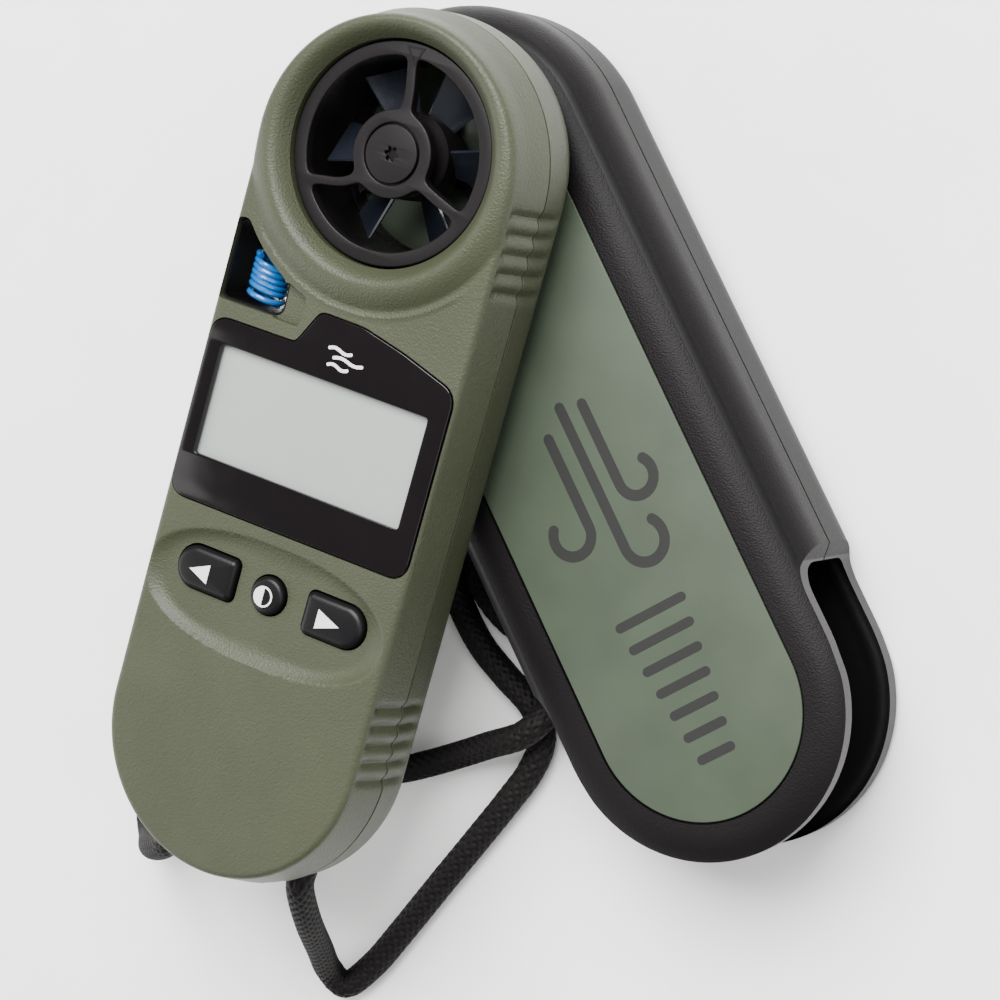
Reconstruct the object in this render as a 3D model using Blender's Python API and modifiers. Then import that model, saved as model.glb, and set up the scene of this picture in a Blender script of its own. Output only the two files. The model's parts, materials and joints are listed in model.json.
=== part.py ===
"""A pocket weather meter lying on its slip-on hard cover, with its neck lanyard.

The meter is drawn in its own frame: the origin is the centre of the rounded impeller end at
the height of the face's shoulder, +Y points to that end and +Z out of the face.
The cover's frame is turned under the meter: its origin is the centre of its closed end, on
its face, and +Y points to that end. Dimensions are in millimetres, and meshes in metres.
"""

import math

import bmesh
import bpy
from mathutils import Matrix, Vector

MM = 0.001
GAP = 0.3  # between pieces that touch

# Meter body: a stadium outline, split into two shells at the seam
BODY_R = 21.0
BODY_SPAN = 80.0  # between the centres of the two end arcs
FACE_Z = 2.2
SEAM_Z = -4.4
BACK_Z = -12.2
WALL = 1.6
FACE_RIM = 1.7
BACK_RIM = 3.2
FRONT_BEZEL_Z = 3.6
REAR_BEZEL_Z = -14.4

# Impeller module: a drop-in ring with a vane rotor on a jewelled axle
IMPELLER_AT = (0.0, 1.5)
BORE_R = 15.1
DUCT_R = 14.8
DUCT_INNER_R = 12.9
DUCT_TOP = 1.0
DUCT_SPLIT = -10.0
HUB_R = 5.8
SPOKES = ((93, 87), (211, 226), (336, 333))  # degrees at the ring and at the hub
BLADES = 6
FIRST_BLADE = math.radians(5.5)
BLADE_TIP_R = 12.3
BLADE_PITCH = math.radians(40)
ROTOR_Z = -6.0
ROTOR_HUB_R = 5.8
ROTOR_HEIGHT = 5.2
AXLE_R = 0.25

# Temperature probe, in the opening beside the impeller
COIL_AT = (-15.0, -20.1)

# Display and keypad
DISPLAY_AT = (-0.3, -37.35)
LENS_TOP = 2.4
KEYS_Y = -60.0
KEY_TOP = 2.6

# Coin cell and its door
CELL_AT = (0.0, -71.0)
CELL_R = 10.0
CELL_TOP = -6.5
DOOR_R = 11.3
LEDGE_Z = -10.0

# Housing screws
SCREWS_AT = [(17.2, -22.4), (-5.6, -22.2), (16.2, -86.6), (-16.2, -86.6)]
SCREW_R = 0.8
SCREW_HEAD_R = 1.7

# Lanyard holes: two bores in the bottom edge that meet behind a bar
LANYARD_HOLE_R = 2.4
LANYARD_HOLE_X = 10.8
LANYARD_Z = -8.3
LANYARD_BAR_Y = -94.5

# Cover
COVER_R = 23.2
COVER_THICKNESS = 21.4
COVER_SKIN = 1.5
COVER_CAVITY_R = 21.4
COVER_SEAM = -10.0
COVER_FACE_RIM = 7.0
COVER_BACK_RIM = 6.0
LIP_R = 20.5
CUTAWAY_Y = -67.5  # the sides end here, so that fingers reach the meter
COVER_TURN = math.radians(45)
COVER_AT = (0.2, -0.3)
INLAY_R = 15.0

# The meter's rear bezel lies on the cover's face, and the cover on the ground.
COVER_FACE_Z = REAR_BEZEL_Z - GAP
GROUND_Z = COVER_FACE_Z - COVER_THICKNESS

# Lanyard
CORD_R = 2.0
CORD_Z = GROUND_Z + CORD_R + 0.05
HANK_AT = (-12.0, -66.0)
HANK_END_R = 16.2
HANK_STRAIGHT = 27.6
HANK_EXIT = math.radians(-17)  # where the return strand leaves the lower end
HANK_Z = (GROUND_Z + 1.15, GROUND_Z + 9.25)
TIE_THICKNESS = 0.8

COVER_REACH = BODY_SPAN * math.sin(COVER_TURN)
X_RANGE = (COVER_AT[0] - COVER_R, COVER_AT[0] + COVER_REACH + LIP_R)
Y_RANGE = (-BODY_SPAN - BODY_R, COVER_AT[1] + COVER_R)
METER_ORIGIN = (-sum(X_RANGE) / 2, -sum(Y_RANGE) / 2, -GROUND_Z)

# Slot: base colour, roughness, metallic
MATERIALS = {
    "olive_shell": ((0.105, 0.125, 0.062), 0.55, 0.0),
    "black_plastic": ((0.020, 0.018, 0.020), 0.45, 0.0),
    "grained_black": ((0.022, 0.020, 0.021), 0.6, 0.0),
    "key_rubber": ((0.012, 0.012, 0.014), 0.55, 0.0),
    "lens": ((0.018, 0.016, 0.020), 0.08, 0.0),
    "lcd": ((0.42, 0.46, 0.42), 0.25, 0.0),
    "white_plastic": ((0.75, 0.75, 0.73), 0.4, 0.0),
    "board": ((0.02, 0.16, 0.07), 0.5, 0.0),
    "steel": ((0.6, 0.6, 0.6), 0.3, 1.0),
    "blade": ((0.05, 0.05, 0.06), 0.25, 0.0),
    "jewel": ((0.5, 0.03, 0.07), 0.1, 0.0),
    "blue_wire": ((0.02, 0.19, 0.42), 0.35, 0.0),
    "cover_inlay": ((0.115, 0.165, 0.105), 0.6, 0.0),
    "seal_rubber": ((0.06, 0.06, 0.06), 0.7, 0.0),
    "cord": ((0.012, 0.010, 0.011), 0.9, 0.0),
}


def clear_scene():
    for obj in list(bpy.data.objects):
        bpy.data.objects.remove(obj, do_unlink=True)


def collection(name):
    made = bpy.data.collections.new(name)
    bpy.context.scene.collection.children.link(made)
    return made


def frame_empty(name, at, turn=0.0):
    empty = bpy.data.objects.new(name, None)
    empty.location = Vector(at) * MM
    empty.rotation_euler.z = turn
    PARTS.objects.link(empty)
    return empty


def material(slot):
    if slot in bpy.data.materials:
        return bpy.data.materials[slot]
    colour, roughness, metallic = MATERIALS[slot]
    made = bpy.data.materials.new(slot)
    made.use_nodes = True
    shader = made.node_tree.nodes["Principled BSDF"]
    shader.inputs["Base Color"].default_value = (*colour, 1.0)
    shader.inputs["Roughness"].default_value = roughness
    shader.inputs["Metallic"].default_value = metallic
    return made


def place(name, data, slot, frame):
    """Puts a shape among the parts or, when it has no slot, among the cutters."""
    obj = bpy.data.objects.new(name, data)
    obj.parent = frame or METER
    if slot is None:
        CUTTERS.objects.link(obj)
        obj.hide_render = True
        obj.display_type = "WIRE"
    else:
        PARTS.objects.link(obj)
        data.materials.append(material(slot))
    return obj


# ---------------------------------------------------------------- outlines


def arc(centre, radius, start, end, steps):
    """Points on an arc from the start to the end angle, in degrees."""
    angles = [math.radians(start + (end - start) * i / steps) for i in range(steps + 1)]
    return [(centre[0] + radius * math.cos(a), centre[1] + radius * math.sin(a)) for a in angles]


def stadium(radius, upper=(0.0, 0.0), span=BODY_SPAN, steps=16):
    """A stadium outline, given the centre of its upper arc."""
    lower = (upper[0], upper[1] - span)
    return arc(upper, radius, 0, 180, steps) + arc(lower, radius, 180, 360, steps)


def rectangle(centre, width, height):
    signs = ((1, 1), (-1, 1), (-1, -1), (1, -1))
    return [(centre[0] + sx * width / 2, centre[1] + sy * height / 2) for sx, sy in signs]


def grown(outline, by):
    """The outline moved outwards, with mitred corners. It runs anticlockwise."""
    moved = []
    for before, here, after in zip(outline[-1:] + outline[:-1], outline, outline[1:] + outline[:1]):
        into = (Vector(here) - Vector(before)).normalized()
        out = (Vector(after) - Vector(here)).normalized()
        bisector = Vector((into.y + out.y, -into.x - out.x)).normalized()
        reach = by / max(0.2, bisector.dot(Vector((into.y, -into.x))))
        moved.append((here[0] + bisector.x * reach, here[1] + bisector.y * reach))
    return moved


BAY_RIGHT = [(13.2, -89.8), (13.2, -83.5), (18.2, -82.0), (18.2, -26.5)]
BAY = BAY_RIGHT + [(-x, y) for x, y in reversed(BAY_RIGHT)]

LENS = [
    *arc((16.8, -49.1), 2.2, 270, 360, 4),
    *arc((16.8, -26.9), 2.2, 0, 65, 3),
    (10.3, -22.7),
    (3.6, -21.2),
    *arc((-2.7, -22.2), 1.0, 95, 170, 2),
    (-5.9, -26.2),
    *arc((-16.8, -28.3), 2.2, 90, 180, 4),
    *arc((-16.8, -49.1), 2.2, 180, 270, 4),
]


def sensor_window():
    """The opening beside the impeller: its upper edge runs round the bezel."""
    lower_edge = [(-19.4, -12.7), (-19.4, -23.9), (-10.2, -23.9), (-9.4, -23.0)]
    return list(reversed(arc(IMPELLER_AT, 22.2, 218.5, 244.5, 6))) + lower_edge


def arrow_key(side):
    """A key that is flat towards the middle and round towards the edge of the body."""
    inner, outer, half, corner = 5.7, 15.1, 2.95, 0.8
    outline = arc((outer - half, KEYS_Y), half, -90, 90, 10)
    outline += arc((inner + corner, KEYS_Y + half - corner), corner, 90, 180, 2)
    outline += arc((inner + corner, KEYS_Y - half + corner), corner, 180, 270, 2)
    if side > 0:
        return outline
    return [(-x, y) for x, y in reversed(outline)]


def middle_key():
    return arc((-0.3, KEYS_Y), 2.6, 0, 360 - 360 / 24, 23)


def spoke(at_ring, at_hub, inner, outer):
    """An S-shaped spoke, wider where it meets the hub and the ring."""
    left, right = [], []
    steps = 10
    for i in range(steps + 1):
        t = i / steps
        turn = math.radians(at_hub + (at_ring - at_hub) * t * t * (3 - 2 * t))
        along = Vector((math.cos(turn), math.sin(turn))) * (inner + (outer - inner) * t)
        across = Vector((-math.sin(turn), math.cos(turn))) * (0.55 + 1.1 * (2 * t - 1) ** 4)
        left.append(Vector(IMPELLER_AT) + along + across)
        right.append(Vector(IMPELLER_AT) + along - across)
    return [tuple(p) for p in right + left[::-1]]


# ---------------------------------------------------------------- solids


def mesh_of(curve_object):
    """The curve's surface as a closed mesh, each flat face in one piece."""
    graph = bpy.context.evaluated_depsgraph_get()
    mesh = bpy.data.meshes.new_from_object(curve_object.evaluated_get(graph))
    bm = bmesh.new()
    bm.from_mesh(mesh)
    bmesh.ops.remove_doubles(bm, verts=bm.verts, dist=1e-6)
    bmesh.ops.dissolve_limit(bm, angle_limit=math.radians(0.5), verts=bm.verts, edges=bm.edges)
    bmesh.ops.recalc_face_normals(bm, faces=bm.faces)
    bm.to_mesh(mesh)
    bm.free()
    bpy.data.objects.remove(curve_object)
    return mesh


def prism(name, outline, low, high, slot=None, frame=None):
    """A flat outline extruded between two heights."""
    curve = bpy.data.curves.new(name, "CURVE")
    curve.dimensions = "2D"
    curve.fill_mode = "BOTH"
    curve.extrude = (high - low) / 2 * MM
    spline = curve.splines.new("POLY")
    spline.points.add(len(outline) - 1)
    for point, (x, y) in zip(spline.points, outline):
        point.co = (x * MM, y * MM, 0.0, 1.0)
    spline.use_cyclic_u = True
    flat = bpy.data.objects.new(name, curve)
    bpy.context.scene.collection.objects.link(flat)
    mesh = mesh_of(flat)
    mesh.transform(Matrix.Translation((0.0, 0.0, (low + high) / 2 * MM)))
    mesh.name = name
    return place(name, mesh, slot, frame)


def cylinder(name, centre, radius, low, high, slot=None, frame=None, segments=32):
    """An upright cylinder between two heights."""
    mesh = bpy.data.meshes.new(name)
    bm = bmesh.new()
    middle = Vector((centre[0], centre[1], (low + high) / 2)) * MM
    bmesh.ops.create_cone(
        bm,
        cap_ends=True,
        segments=segments,
        radius1=radius * MM,
        radius2=radius * MM,
        depth=(high - low) * MM,
        matrix=Matrix.Translation(middle),
    )
    bm.to_mesh(mesh)
    bm.free()
    return place(name, mesh, slot, frame)


def lying_cylinder(name, start, end, radius):
    """A cutter between two points."""
    start, end = Vector(start) * MM, Vector(end) * MM
    turn = (end - start).to_track_quat("Z", "Y").to_matrix().to_4x4()
    mesh = bpy.data.meshes.new(name)
    bm = bmesh.new()
    bmesh.ops.create_cone(
        bm,
        cap_ends=True,
        segments=16,
        radius1=radius * MM,
        radius2=radius * MM,
        depth=(end - start).length,
        matrix=Matrix.Translation((start + end) / 2) @ turn,
    )
    bm.to_mesh(mesh)
    bm.free()
    return place(name, mesh, None, METER)


def box(name, x, y, z, slot=None, frame=None):
    """A box between the two ends of its X, Y and Z ranges."""
    mesh = bpy.data.meshes.new(name)
    bm = bmesh.new()
    bmesh.ops.create_cube(bm, size=1.0)
    size = Vector([r[1] - r[0] for r in (x, y, z)]) * MM
    middle = Vector([(r[0] + r[1]) / 2 for r in (x, y, z)]) * MM
    bm.transform(Matrix.Translation(middle) @ Matrix.Diagonal((*size, 1.0)))
    bm.to_mesh(mesh)
    bm.free()
    return place(name, mesh, slot, frame)


def turned(name, profile, centre, slot=None, steps=32, frame=None):
    """A ring: a closed profile of (radius, height), outer side first and downwards."""
    mesh = bpy.data.meshes.new(name)
    edges = [(i, (i + 1) % len(profile)) for i in range(len(profile))]
    mesh.from_pydata([(r * MM, 0.0, z * MM) for r, z in profile], edges, [])
    obj = place(name, mesh, slot, frame)
    obj.location = (centre[0] * MM, centre[1] * MM, 0.0)
    screw = obj.modifiers.new("turn", "SCREW")
    screw.steps = screw.render_steps = steps
    screw.use_merge_vertices = True
    screw.merge_threshold = 1e-6
    return obj


def ring(name, centre, outer, inner, low, high, slot=None, steps=32, frame=None):
    profile = [(outer, high), (outer, low), (inner, low), (inner, high)]
    return turned(name, profile, centre, slot, steps, frame)


def tube(name, points, radius, slot, frame=None):
    """A round wire or cord along a run of points."""
    curve = bpy.data.curves.new(name, "CURVE")
    curve.dimensions = "3D"
    curve.bevel_depth = radius * MM
    curve.bevel_resolution = 2
    curve.use_fill_caps = True
    spline = curve.splines.new("POLY")
    spline.points.add(len(points) - 1)
    for point, (x, y, z) in zip(spline.points, points):
        point.co = (x * MM, y * MM, z * MM, 1.0)
    return place(name, curve, slot, frame)


def boolean(target, tool, operation):
    modifier = target.modifiers.new(tool.name, "BOOLEAN")
    modifier.operation = operation
    modifier.object = tool


def cut(target, *tools):
    for tool in tools:
        boolean(target, tool, "DIFFERENCE")


def join(target, *tools):
    for tool in tools:
        boolean(target, tool, "UNION")


def round_rims(obj, heights, width, segments):
    """Rounds the edges of the flat faces at the given heights."""
    mesh = obj.data
    layer = mesh.attributes.new("bevel_weight_edge", "FLOAT", "EDGE")
    for edge in mesh.edges:
        ends = [mesh.vertices[i].co.z / MM for i in edge.vertices]
        on_rim = any(all(abs(z - height) < 1e-3 for z in ends) for height in heights)
        layer.data[edge.index].value = float(on_rim)
    bevel = obj.modifiers.new("rounded_rim", "BEVEL")
    bevel.limit_method = "WEIGHT"
    bevel.width = width * MM
    bevel.segments = segments
    bevel.use_clamp_overlap = False


def finish_parts():
    """Makes every part a plain mesh, shaded smooth except at its sharp edges."""
    bpy.context.view_layer.update()
    graph = bpy.context.evaluated_depsgraph_get()
    solids = [obj for obj in PARTS.objects if obj.type != "EMPTY"]
    meshes = [bpy.data.meshes.new_from_object(obj.evaluated_get(graph)) for obj in solids]
    for obj, mesh in zip(solids, meshes):
        name, slot = obj.name, obj.data.materials[0]
        frame, at = obj.parent, obj.location.copy()
        bpy.data.objects.remove(obj, do_unlink=True)
        bm = bmesh.new()
        bm.from_mesh(mesh)
        bmesh.ops.remove_doubles(bm, verts=bm.verts, dist=1e-6)
        bm.to_mesh(mesh)
        bm.free()
        mesh.materials.clear()
        mesh.materials.append(slot)
        mesh.shade_smooth()
        mesh.set_sharp_from_angle(angle=math.radians(35))
        made = bpy.data.objects.new(name, mesh)
        made.parent = frame
        made.location = at
        PARTS.objects.link(made)


# ---------------------------------------------------------------- housing


def through_cutters():
    """The holes that pass through both shells."""
    holes = [
        cylinder("bore", IMPELLER_AT, BORE_R, -20, 10, segments=48),
        prism("window_cut", sensor_window(), -20, 10),
        prism("bay_cut", BAY, BACK_Z + WALL, FACE_Z - WALL),
    ]
    bar = (LANYARD_BAR_Y, LANYARD_Z)
    ends = [(-LANYARD_HOLE_X, *bar), (LANYARD_HOLE_X, *bar)]
    holes.append(lying_cylinder("lanyard_tunnel", *ends, LANYARD_HOLE_R))
    for side, end in zip(("left", "right"), ends):
        mouth = (end[0], LANYARD_BAR_Y - 9, LANYARD_Z)
        holes.append(lying_cylinder(f"lanyard_hole_{side}", end, mouth, LANYARD_HOLE_R))
    return holes


def front_housing(holes):
    body = prism("front_housing", stadium(BODY_R), SEAM_Z + GAP / 2, FACE_Z, "olive_shell")
    round_rims(body, [FACE_Z], FACE_RIM, 3)
    bezel = [
        (17.2, FRONT_BEZEL_Z),
        (18.4, 3.1),
        (19.3, 1.9),
        (19.3, 0.4),
        (14.0, 0.4),
        (14.0, 0.9),
        (15.6, 2.6),
    ]
    join(body, turned("front_bezel", bezel, IMPELLER_AT, steps=48))
    cut(body, *holes)
    cut(body, prism("lens_pocket", grown(LENS, GAP), FACE_Z - 0.9, FACE_Z + 3))
    cut(body, prism("display_opening", rectangle(DISPLAY_AT, 33.0, 15.6), -1, FACE_Z))
    for name, outline in (
        ("left_key_hole", arrow_key(-1)),
        ("middle_key_hole", middle_key()),
        ("right_key_hole", arrow_key(1)),
    ):
        cut(body, prism(name, grown(outline, GAP), -1, FACE_Z + 1))
    for i, at in enumerate(SCREWS_AT, 1):
        cut(body, cylinder(f"pilot_{i}", at, SCREW_R + GAP, SEAM_Z - 1, -0.6, segments=12))


def rear_housing(holes):
    body = prism("rear_housing", stadium(BODY_R), BACK_Z, SEAM_Z - GAP / 2, "olive_shell")
    round_rims(body, [BACK_Z], BACK_RIM, 4)
    bezel = [
        (19.3, BACK_Z + 2.0),
        (19.3, BACK_Z - 0.3),
        (18.4, REAR_BEZEL_Z + 0.4),
        (17.6, REAR_BEZEL_Z),
        (16.4, REAR_BEZEL_Z),
        (14.0, BACK_Z + 0.2),
        (14.0, BACK_Z + 2.0),
    ]
    join(body, turned("rear_bezel", bezel, IMPELLER_AT, steps=48))
    cut(body, *holes)
    join(body, cylinder("cell_wall", CELL_AT, 13.0, BACK_Z + 0.6, -6.8, segments=48))
    door_hole = cylinder("door_hole", CELL_AT, DOOR_R + GAP, BACK_Z - 5, LEDGE_Z, segments=48)
    cell_hole = cylinder("cell_hole", CELL_AT, CELL_R + 2 * GAP, -10.8, -6, segments=48)
    cut(body, door_hole, cell_hole)
    groove = prism("gasket_groove", grown(BAY, 1.85), SEAM_Z - 1.3, SEAM_Z + 1)
    cut(groove, prism("groove_core", grown(BAY, 0.45), SEAM_Z - 2, SEAM_Z + 2))
    cut(body, groove)
    for i, at in enumerate(SCREWS_AT, 1):
        shank = cylinder(f"shank_hole_{i}", at, SCREW_R + GAP, BACK_Z - 1, SEAM_Z + 1, segments=12)
        head_r = SCREW_HEAD_R + GAP
        head = cylinder(f"head_hole_{i}", at, head_r, BACK_Z - 1, BACK_Z + 2.1, segments=16)
        cut(body, shank, head)


def housing_hardware():
    gasket = prism("housing_gasket", grown(BAY, 1.55), SEAM_Z - 1.0, SEAM_Z - 0.15, "seal_rubber")
    cut(gasket, prism("gasket_core", grown(BAY, 0.75), SEAM_Z - 2, SEAM_Z + 1))
    for i, at in enumerate(SCREWS_AT, 1):
        low, high = BACK_Z + 0.6, BACK_Z + 1.8
        screw = cylinder(f"housing_screw_{i}", at, SCREW_HEAD_R, low, high, "steel", segments=16)
        join(screw, cylinder(f"shank_{i}", at, SCREW_R, high - 0.3, -0.9, segments=12))
        for j, (width, height) in enumerate([(2.2, 0.5), (0.5, 2.2)]):
            outline = rectangle(at, width, height)
            cut(screw, prism(f"drive_{i}_{j}", outline, low - 0.5, low + 0.6))


# ---------------------------------------------------------------- impeller


def impeller_frames():
    front = ring(
        "impeller_frame_front",
        IMPELLER_AT,
        DUCT_R,
        DUCT_INNER_R,
        DUCT_SPLIT,
        DUCT_TOP,
        "black_plastic",
        steps=48,
    )
    join(front, cylinder("front_hub", IMPELLER_AT, HUB_R, -1.6, DUCT_TOP))
    for i, ends in enumerate(SPOKES):
        outline = spoke(*ends, HUB_R - 0.8, DUCT_INNER_R + 0.5)
        join(front, prism(f"front_spoke_{i}", outline, -0.6, DUCT_TOP - 0.15))
    cut(
        front,
        cylinder("cap_recess", IMPELLER_AT, 4.2, -0.1, 3),
        cylinder("front_jewel_recess", IMPELLER_AT, 1.4, -3, -0.6, segments=16),
    )
    rear = ring(
        "impeller_frame_rear",
        IMPELLER_AT,
        DUCT_R,
        DUCT_INNER_R,
        -13.6,
        DUCT_SPLIT - GAP,
        "black_plastic",
        steps=48,
    )
    join(rear, cylinder("rear_hub", IMPELLER_AT, 4.0, -13.4, -11.6))
    for i, ends in enumerate(SPOKES):
        outline = spoke(*ends, 3.2, DUCT_INNER_R + 0.5)
        join(rear, prism(f"rear_spoke_{i}", outline, -13.3, -12.2))
    cut(rear, cylinder("rear_jewel_recess", IMPELLER_AT, 1.4, -12.6, -11, segments=16))


def impeller_bearings():
    cap = cylinder("hub_cap", IMPELLER_AT, 3.9, 0.2, 1.5, "black_plastic", segments=32)
    cut(cap, cylinder("cap_drive", IMPELLER_AT, 1.0, 0.9, 2, segments=6))
    ring("front_jewel_bearing", IMPELLER_AT, 1.1, 0.55, -1.5, -0.9, "jewel", steps=16)
    ring("rear_jewel_bearing", IMPELLER_AT, 1.1, 0.55, -12.3, -11.7, "jewel", steps=16)
    cylinder("impeller_axle", IMPELLER_AT, AXLE_R, -12.1, -1.1, "steel", segments=12)


def blade(name, angle):
    """A flat vane, narrower at the hub, pitched about its own length."""
    root_r, tip_r, thickness = ROTOR_HUB_R - 0.8, BLADE_TIP_R + 1.0, 0.6
    root_chord, tip_chord = 4.0, 7.2
    mesh = bpy.data.meshes.new(name)
    bm = bmesh.new()
    bmesh.ops.create_cube(bm, size=1.0)
    for vertex in bm.verts:
        at_tip = vertex.co.x > 0
        vertex.co.x = tip_r if at_tip else root_r
        vertex.co.y *= tip_chord if at_tip else root_chord
        vertex.co.z *= thickness
    turn = Matrix.Rotation(angle, 4, "Z") @ Matrix.Rotation(BLADE_PITCH, 4, "X")
    bm.transform(Matrix.Scale(MM, 4) @ turn)
    bm.to_mesh(mesh)
    bm.free()
    obj = place(name, mesh, None, METER)
    obj.location = Vector((*IMPELLER_AT, ROTOR_Z)) * MM
    return obj


def impeller_rotor():
    low, high = ROTOR_Z - ROTOR_HEIGHT / 2, ROTOR_Z + ROTOR_HEIGHT / 2
    rotor = cylinder("impeller_rotor", IMPELLER_AT, ROTOR_HUB_R, low, high, "blade", segments=32)
    for i in range(BLADES):
        join(rotor, blade(f"blade_{i}", FIRST_BLADE + 2 * math.pi * i / BLADES))
    swept = cylinder("swept_volume", IMPELLER_AT, BLADE_TIP_R, -20, 20, segments=48)
    boolean(rotor, swept, "INTERSECT")
    cut(
        rotor,
        cylinder("axle_hole", IMPELLER_AT, AXLE_R + GAP, -20, 20, segments=12),
        ring("magnet_recess", IMPELLER_AT, 3.5, 1.7, low - 1, low + 1.8),
    )
    ring("impeller_magnet", IMPELLER_AT, 3.2, 2.0, low + 0.2, low + 1.5, "steel")


# ---------------------------------------------------------------- electronics


def sensor_coil():
    """The temperature probe: a fine wire wound in the opening beside the impeller."""
    centre, radius, turns, length = Vector((*COIL_AT, -2.6)), 2.1, 5.5, 5.0
    steps = 10
    points = []
    for i in range(int(turns * steps) + 1):
        angle = 2 * math.pi * i / steps
        along = length * (0.5 - i / (turns * steps))
        points.append(centre + Vector((radius * math.cos(angle), along, radius * math.sin(angle))))
    tube("temperature_sensor_coil", points, 0.32, "blue_wire")
    bead = cylinder("thermistor_bead", COIL_AT, 0.9, -3.4, -1.8, "seal_rubber", segments=16)
    round_rims(bead, [-3.4, -1.8], 0.4, 2)


def display():
    x = DISPLAY_AT[0]
    prism("display_lens", LENS, LENS_TOP - 0.8, LENS_TOP, "lens")
    prism("lcd_glass", rectangle(DISPLAY_AT, 34.2, 18.2), -0.8, 0.3, "lcd")
    frame = prism("lcd_frame", rectangle(DISPLAY_AT, 35.4, 20.4), -2.4, 0.3, "white_plastic")
    cut(frame, prism("frame_core", rectangle(DISPLAY_AT, 34.8, 18.8), -4, 2))
    box("backlight_panel", (x - 16.9, x + 16.9), (-44.6, -28.6), (-1.9, -1.1), "white_plastic")
    box("zebra_connector", (x - 16.5, x + 16.5), (-46.2, -45.0), (-2.4, -1.1), "seal_rubber")


def keypad():
    for name, outline in (
        ("left_button", arrow_key(-1)),
        ("backlight_button", middle_key()),
        ("right_button", arrow_key(1)),
    ):
        key = prism(name, outline, 0.0, KEY_TOP, "key_rubber")
        round_rims(key, [KEY_TOP], 0.5, 2)
        join(key, prism(f"{name}_flange", grown(outline, 0.9), -0.5, 0.25))
    prism("keypad_mat", rectangle((0.0, KEYS_Y), 34.0, 12.0), -2.4, -1.4, "key_rubber")


def electronics():
    box("circuit_board", (-17.5, 17.5), (-81.5, -27.2), (-4.6, -3.6), "board")
    box("processor_chip", (1.5, 10.5), (-44.5, -35.5), (-5.9, -4.9), "black_plastic")
    sensor = cylinder("pressure_sensor", (-11, -34), 2.4, -6.5, -4.9, "steel", segments=24)
    cut(sensor, cylinder("sensor_port", (-11, -34), 0.4, -7, -5.5, segments=12))


def battery():
    coils = 2.5
    steps = 12
    points = []
    for i in range(int(coils * steps) + 1):
        part = i / (coils * steps)
        angle, radius = 2 * math.pi * i / steps, 3.4 - 1.8 * part
        offset = (radius * math.cos(angle), radius * math.sin(angle))
        points.append((CELL_AT[0] + offset[0], CELL_AT[1] + offset[1], -5.05 - 0.95 * part))
    tube("battery_contact_spring", points, 0.15, "steel")
    plate = box("battery_contact_plate", (5.6, 8.6), (-72.5, -69.5), (-5.2, -4.9), "steel")
    join(plate, box("contact_tongue", (5.6, 6.1), (-71.8, -70.2), (-6.2, -5.0)))
    cell = cylinder("battery_cell", CELL_AT, CELL_R, CELL_TOP - 3.2, CELL_TOP, "steel", segments=48)
    round_rims(cell, [CELL_TOP - 3.2], 0.3, 2)
    disc_top = BACK_Z + 0.9
    door = cylinder("battery_door", CELL_AT, DOOR_R, BACK_Z, disc_top, "olive_shell", segments=48)
    join(door, cylinder("door_plug", CELL_AT, 10.2, disc_top - 0.3, LEDGE_Z - GAP, segments=48))
    slot = rectangle(CELL_AT, 13.0, 1.8)
    cut(door, prism("coin_slot", slot, BACK_Z - 1, BACK_Z + 0.8))
    seal_low, seal_high = disc_top + GAP, LEDGE_Z - GAP
    ring("battery_door_seal", CELL_AT, 11.3, 10.5, seal_low, seal_high, "seal_rubber", steps=48)


# ---------------------------------------------------------------- cover


def cover():
    floor, ceiling = -COVER_THICKNESS + COVER_SKIN, -COVER_SKIN
    cavity = prism("cover_cavity", stadium(COVER_CAVITY_R), floor, ceiling, frame=COVER)
    round_rims(cavity, [floor, ceiling], 4.8, 4)
    low_end = rectangle((0.0, CUTAWAY_Y - 30), 80, 60)
    cutaway = prism("finger_cutaway", low_end, -40, 10, frame=COVER)
    cut(cutaway, prism("cutaway_core", stadium(LIP_R), -50, 20, frame=COVER))
    front_low, rear_high = COVER_SEAM + GAP / 2, COVER_SEAM - GAP / 2
    front = prism("cover_front_shell", stadium(COVER_R), front_low, 0, "grained_black", COVER)
    round_rims(front, [0], COVER_FACE_RIM, 6)
    inlay_pocket = prism("inlay_pocket", stadium(INLAY_R + GAP), -0.6, 2, frame=COVER)
    cut(front, cavity, cutaway, inlay_pocket)
    back = -COVER_THICKNESS
    rear = prism("cover_rear_shell", stadium(COVER_R), back, rear_high, "grained_black", COVER)
    round_rims(rear, [back], COVER_BACK_RIM, 6)
    cut(rear, cavity, cutaway)
    prism("cover_inlay", stadium(INLAY_R), -0.3, 0.0, "cover_inlay", COVER)


# ---------------------------------------------------------------- lanyard


def smooth_route(points, spacing):
    """Evenly spaced points along a Catmull-Rom curve through the given ones."""
    points = [Vector(p) for p in points]
    guides = [2 * points[0] - points[1], *points, 2 * points[-1] - points[-2]]
    fine = [points[0]]
    for a, b, c, d in zip(guides, guides[1:], guides[2:], guides[3:]):
        for i in range(1, 13):
            t = i / 12
            bend = 2 * a - 5 * b + 4 * c - d
            twist = 3 * b - a - 3 * c + d
            fine.append((2 * b + (c - a) * t + bend * t**2 + twist * t**3) / 2)
    lengths = [0.0]
    for here, after in zip(fine, fine[1:]):
        lengths.append(lengths[-1] + (after - here).length)
    count = round(lengths[-1] / spacing)
    route, at = [], 0
    for i in range(count + 1):
        target = lengths[-1] * i / count
        while at < len(fine) - 2 and lengths[at + 1] < target:
            at += 1
        part = (target - lengths[at]) / (lengths[at + 1] - lengths[at])
        point = fine[at].lerp(fine[at + 1], part)
        point.z = max(point.z, CORD_Z)
        route.append(point)
    return route


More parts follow.
